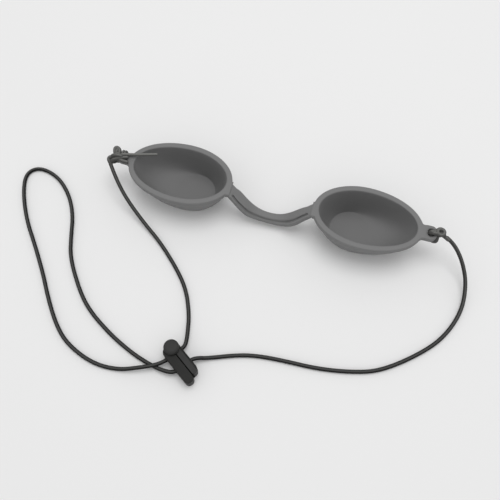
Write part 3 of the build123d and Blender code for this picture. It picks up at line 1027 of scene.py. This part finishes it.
@dataclass
class SoftGoggles:
    """The cups and the strap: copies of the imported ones, bent a little as soft ones lie.

    In the photograph the strap hangs unevenly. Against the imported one, its far edge lies about a
    millimetre further from the brow side, its near edge up to 0.7 mm to either side, and its
    channel up to 0.95 mm nearer to the brow side. Its middle is lifted, its underside is thinner
    along the near edge, and its ends stay in their sockets. The ear tabs are drawn away from the
    brow side by their knots, each edge by its own amount.

    Attributes:
        merge_distance: Distance within which a copied node's loose triangles are joined.
        longest_edge: Length past which an edge of a copy is divided.
        division_rounds: How often the edges are looked through for that.
        most_corners: Corners of a face past which it is divided into triangles.
        sharp_angle: Angle between faces past which their edge stays sharp.
        tab_root: Distance of a tab's bend from the middle of the goggles, where it starts.
        tab_bent: The same, where it has its whole amount.
        tab_half_width: Half of a tab's width.
        left_tab_shifts: Shifts of the left tab's near and far edge.
        right_tab_shifts: Shifts of the right tab's near and far edge.
        far_arc: Centre's Y and radius of the strap's far edge, in millimetres.
        near_arc: The same of its near edge.
        channel_share: Place of the channel, as a share of the way from the near to the far edge.
        thinned_share: Such a share that the thinner underside reaches to.
        lift: Height that the strap's middle gains.
        lift_place: X of the most lift, in millimetres.
        lift_reach: How far the lift spreads from there, in millimetres.
        bends: X, shift of the far edge and shift of the near edge, in millimetres.
        channel_bends: X, shift of the channel and rise of the underside, in millimetres.
    """

    finishes: Finishes
    merge_distance: float = 0.0005 * MM
    longest_edge: float = 0.9 * MM
    division_rounds: int = 3
    most_corners: int = 4
    sharp_angle: float = radians(38)
    tab_root: float = 60.5 * MM
    tab_bent: float = 64.0 * MM
    tab_half_width: float = 2.7 * MM
    left_tab_shifts: tuple[float, float] = (0.95 * MM, 0.6 * MM)
    right_tab_shifts: tuple[float, float] = (0.0, 0.95 * MM)
    far_arc: tuple[float, float] = (32.18, 35.88)
    near_arc: tuple[float, float] = (41.77, 49.87)
    channel_share: float = 0.31
    thinned_share: float = 0.45
    lift: float = 0.9 * MM
    lift_place: float = -1.0
    lift_reach: float = 6.0
    bends: Route = (
        (-18.2, 0, 0), (-15.6, 0, 0), (-14.2, 0.95, -0.15), (-12.5, 1.13, -0.24),
        (-11, 1.07, -0.28), (-9.3, 1.09, -0.22), (-7, 1.04, 0.13), (-5, 0.92, 0.31),
        (-2.7, 0.78, 0.5), (-0.6, 0.76, 0.55), (1.5, 0.82, 0.61), (3.7, 0.85, 0.67),
        (6.2, 0.95, 0.47), (8, 1.05, 0.13), (9.7, 1.05, -0.36), (12.2, 1.0, -0.7),
        (13.5, 0.75, -0.45), (15.6, 0, 0), (18.2, 0, 0),
    )
    channel_bends: Route = (
        (-18.2, 0, 0), (-15.6, 0, 0), (-14.2, -0.78, 0), (-12.5, -0.88, 0), (-11, -0.92, 0.1),
        (-9.3, -0.86, 0.3), (-7, -0.5, 0.7), (-5, -0.25, 0.9), (-2.7, -0.14, 1.0),
        (-0.6, -0.06, 1.0), (1.5, -0.03, 0.8), (3.7, 0.03, 0.4), (6.2, -0.18, 0.1), (8, -0.5, 0),
        (9.7, -0.95, 0), (12.2, -0.7, 0), (13.5, -0.2, 0), (15.6, 0, 0), (18.2, 0, 0),
    )

    @staticmethod
    def look_up(line: list[Vector], x: float) -> Vector:
        """Find the point of a line that runs along X, at one X.

        Args:
            line: Points of the line.
            x: Where to look.

        Returns:
            The point there, or the line's end past it.
        """
        for before, after in zip(line, line[1:]):
            if x <= after.x:
                share = (x - before.x) / max(after.x - before.x, 1e-9)
                return before.lerp(after, min(max(share, 0.0), 1.0))
        return line[-1]

    def fine_copy(self, node: str) -> bmesh.types.BMesh:
        """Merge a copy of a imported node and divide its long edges, so that it can be bent.

        Args:
            node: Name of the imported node.

        Returns:
            The copy.
        """
        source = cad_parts[node]
        shape = bmesh.new()
        shape.from_mesh(source.data)
        bmesh.ops.transform(shape, matrix=source.matrix_world, verts=list(shape.verts))
        bmesh.ops.remove_doubles(shape, verts=list(shape.verts), dist=self.merge_distance)
        for _ in range(self.division_rounds):
            long_edges = [
                edge for edge in shape.edges if edge.calc_length() > self.longest_edge
            ]
            bmesh.ops.subdivide_edges(shape, edges=long_edges, cuts=1)
            many_sided = [face for face in shape.faces if len(face.verts) > self.most_corners]
            bmesh.ops.triangulate(shape, faces=many_sided)
        bmesh.ops.recalc_face_normals(shape, faces=list(shape.faces))
        shape.normal_update()
        return shape

    def cup(self, side: str) -> bpy.types.Object:
        """Copy the cup of one side and draw its ear tab across.

        Args:
            side: Left or right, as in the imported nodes' names.

        Returns:
            The cup.
        """
        shape = self.fine_copy(f"{side}_eye_cup")
        near, far = self.left_tab_shifts if side == "left" else self.right_tab_shifts
        for vertex in shape.verts:
            share = (abs(vertex.co.x) - self.tab_root) / (self.tab_bent - self.tab_root)
            share = min(max(share, 0.0), 1.0)
            across = min(max((vertex.co.y / self.tab_half_width + 1) / 2, 0.0), 1.0)
            vertex.co.y += (near + (far - near) * across) * share * share * (3 - 2 * share)
        cup = add_object(f"{side}_soft_cup", shape, self.finishes.moulding)
        cup.data.set_sharp_from_angle(angle=self.sharp_angle)
        return cup

    def strap(self) -> bpy.types.Object:
        """Copy the strap and bend it across, each edge and the channel by its own amount.

        Returns:
            The bent strap.
        """
        shape = self.fine_copy("nose_bridge")
        under = {vertex for vertex in shape.verts if vertex.normal.z < 0}
        bends, channel = smooth_line(self.bends), smooth_line(self.channel_bends)
        for vertex in shape.verts:
            x, y = vertex.co.x / MM, vertex.co.y / MM
            far, near = (
                centre - (radius**2 - x**2) ** 0.5
                for centre, radius in (self.far_arc, self.near_arc)
            )
            share = min(max((y - near) / (far - near), 0.0), 1.0)
            vertex.co.z += self.lift * exp(-(((x - self.lift_place) / self.lift_reach) ** 2))
            edges = self.look_up(bends, vertex.co.x)
            middle, thinned = self.look_up(channel, vertex.co.x).yz
            if vertex in under:
                vertex.co.z += thinned * max(0.0, 1 - share / self.thinned_share)
            if share < self.channel_share:
                part = share / self.channel_share
                vertex.co.y += edges.z + (middle - edges.z) * part
            else:
                part = (share - self.channel_share) / (1 - self.channel_share)
                vertex.co.y += middle + (edges.y - middle) * part
        strap = add_object("nose_strap", shape, self.finishes.moulding)
        strap.data.set_sharp_from_angle(angle=self.sharp_angle)
        return strap

    def build(self) -> None:
        """Make the cups and the strap, each on its own body."""
        for node, body, piece in (
            ("left_eye_cup", "left_cup", self.cup("left")),
            ("right_eye_cup", "right_cup", self.cup("right")),
            ("nose_bridge", "bridge", self.strap()),
        ):
            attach(piece, body)
            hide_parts(node)
            log.info("%s: %d faces", piece.name, len(piece.data.polygons))


@dataclass
class CordLock:
    """The cord lock's body, slider and spring.

    The spring lies in the slider's pocket, along the lock, between the pocket's end and a lug.

    Attributes:
        start: Start of the lock's long axis, in millimetres.
        turn: Turn of the long axis from X.
        pocket_end: Place of the pocket's end along the axis.
        lug_face: Place of the lug's face along the axis.
        across: Distance of the spring from the axis.
        travel: Travel of the slider. Not used.
        end_gap: Room between the wire and what it bears on.
        turns: Turns of the wire, with the end turns.
        end_turns: How much of a turn lies nearly flat at each end.
        flat_pitch: Rise of a flat end turn, as a multiple of the wire's radius.
    """

    finishes: Finishes
    start: Point = (-21.9, -69.5, 2.01)
    turn: float = radians(-34.2)
    pocket_end: float = 10.6 * MM
    lug_face: float = 13.2 * MM
    across: float = 1.05 * MM
    travel: float = 1.4 * MM
    coil_radius: float = 0.64 * MM
    wire_radius: float = 0.11 * MM
    wire_segments: int = 12
    end_gap: float = 0.02 * MM
    turns: int = 4
    end_turns: float = 0.75
    flat_pitch: float = 2.6
    steps_per_turn: int = 40

    def along(self) -> Vector:
        """Direction of the lock's long axis."""
        return Vector((cos(self.turn), sin(self.turn), 0))

    def spring_line(self) -> list[Vector]:
        """Coil the spring: a helix whose first and last turns lie nearly flat.

        Returns:
            Points of the wire's middle line.
        """
        side = Vector((-sin(self.turn), cos(self.turn), 0))
        first = self.pocket_end + self.end_gap + self.wire_radius
        last = self.lug_face - self.end_gap - self.wire_radius
        flat = self.flat_pitch * self.wire_radius
        places = []
        for step in range(self.turns * self.steps_per_turn + 1):
            turned = step / self.steps_per_turn
            if turned < self.end_turns:
                place = flat * turned / self.end_turns
            elif turned > self.turns - self.end_turns:
                place = last - first - flat * (self.turns - turned) / self.end_turns
            else:
                share = (turned - self.end_turns) / (self.turns - 2 * self.end_turns)
                place = flat + share * (last - first - 2 * flat)
            angle = 2 * pi * turned
            places.append(
                mm(*self.start)
                + self.along() * (first + place)
                + side * (self.across + self.coil_radius * cos(angle))
                + Vector((0, 0, self.coil_radius * sin(angle)))
            )
        return places

    def build(self) -> None:
        """Dress the lock's body and slider, and coil the spring."""
        dress(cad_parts["lock_body"], self.finishes.nylon)
        dress(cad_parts["lock_slider"], self.finishes.rubbed_nylon)
        shape = bmesh.new()
        Tube(
            self.spring_line(), self.wire_radius, segments=self.wire_segments,
            rounded_start=True, rounded_end=True,
        ).add_to(shape)
        bmesh.ops.recalc_face_normals(shape, faces=list(shape.faces))
        spring = add_object("pinch_spring", shape, self.finishes.wire)
        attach(spring, "bridge")
        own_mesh(spring)
        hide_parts("lock_spring")
        log.info("%s: %d faces", spring.name, len(spring.data.polygons))


def dress(piece: bpy.types.Object, material: bpy.types.Material) -> None:
    """Give every material slot of a carried-over node the same finish.

    Args:
        piece: The node's object.
        material: Its finish.
    """
    if not piece.material_slots:
        piece.data.materials.append(material)
    for slot in piece.material_slots:
        slot.material = material
    log.info("%s dressed", piece.name)


def main() -> None:
    """Build the scene, the camera and the cords first, and report each piece."""
    logging.basicConfig(level=logging.INFO, format="%(name)s %(message)s")
    bpy.context.scene.view_settings.view_transform = "Standard"
    finishes = Finishes.make()
    PhotoCamera().build()
    Studio().build(finishes)
    knots = EarKnots(finishes).build()
    ElasticCord(finishes).build(knots)
    SoftGoggles(finishes).build()
    CordLock(finishes).build()


if __name__ == "__main__":
    main()
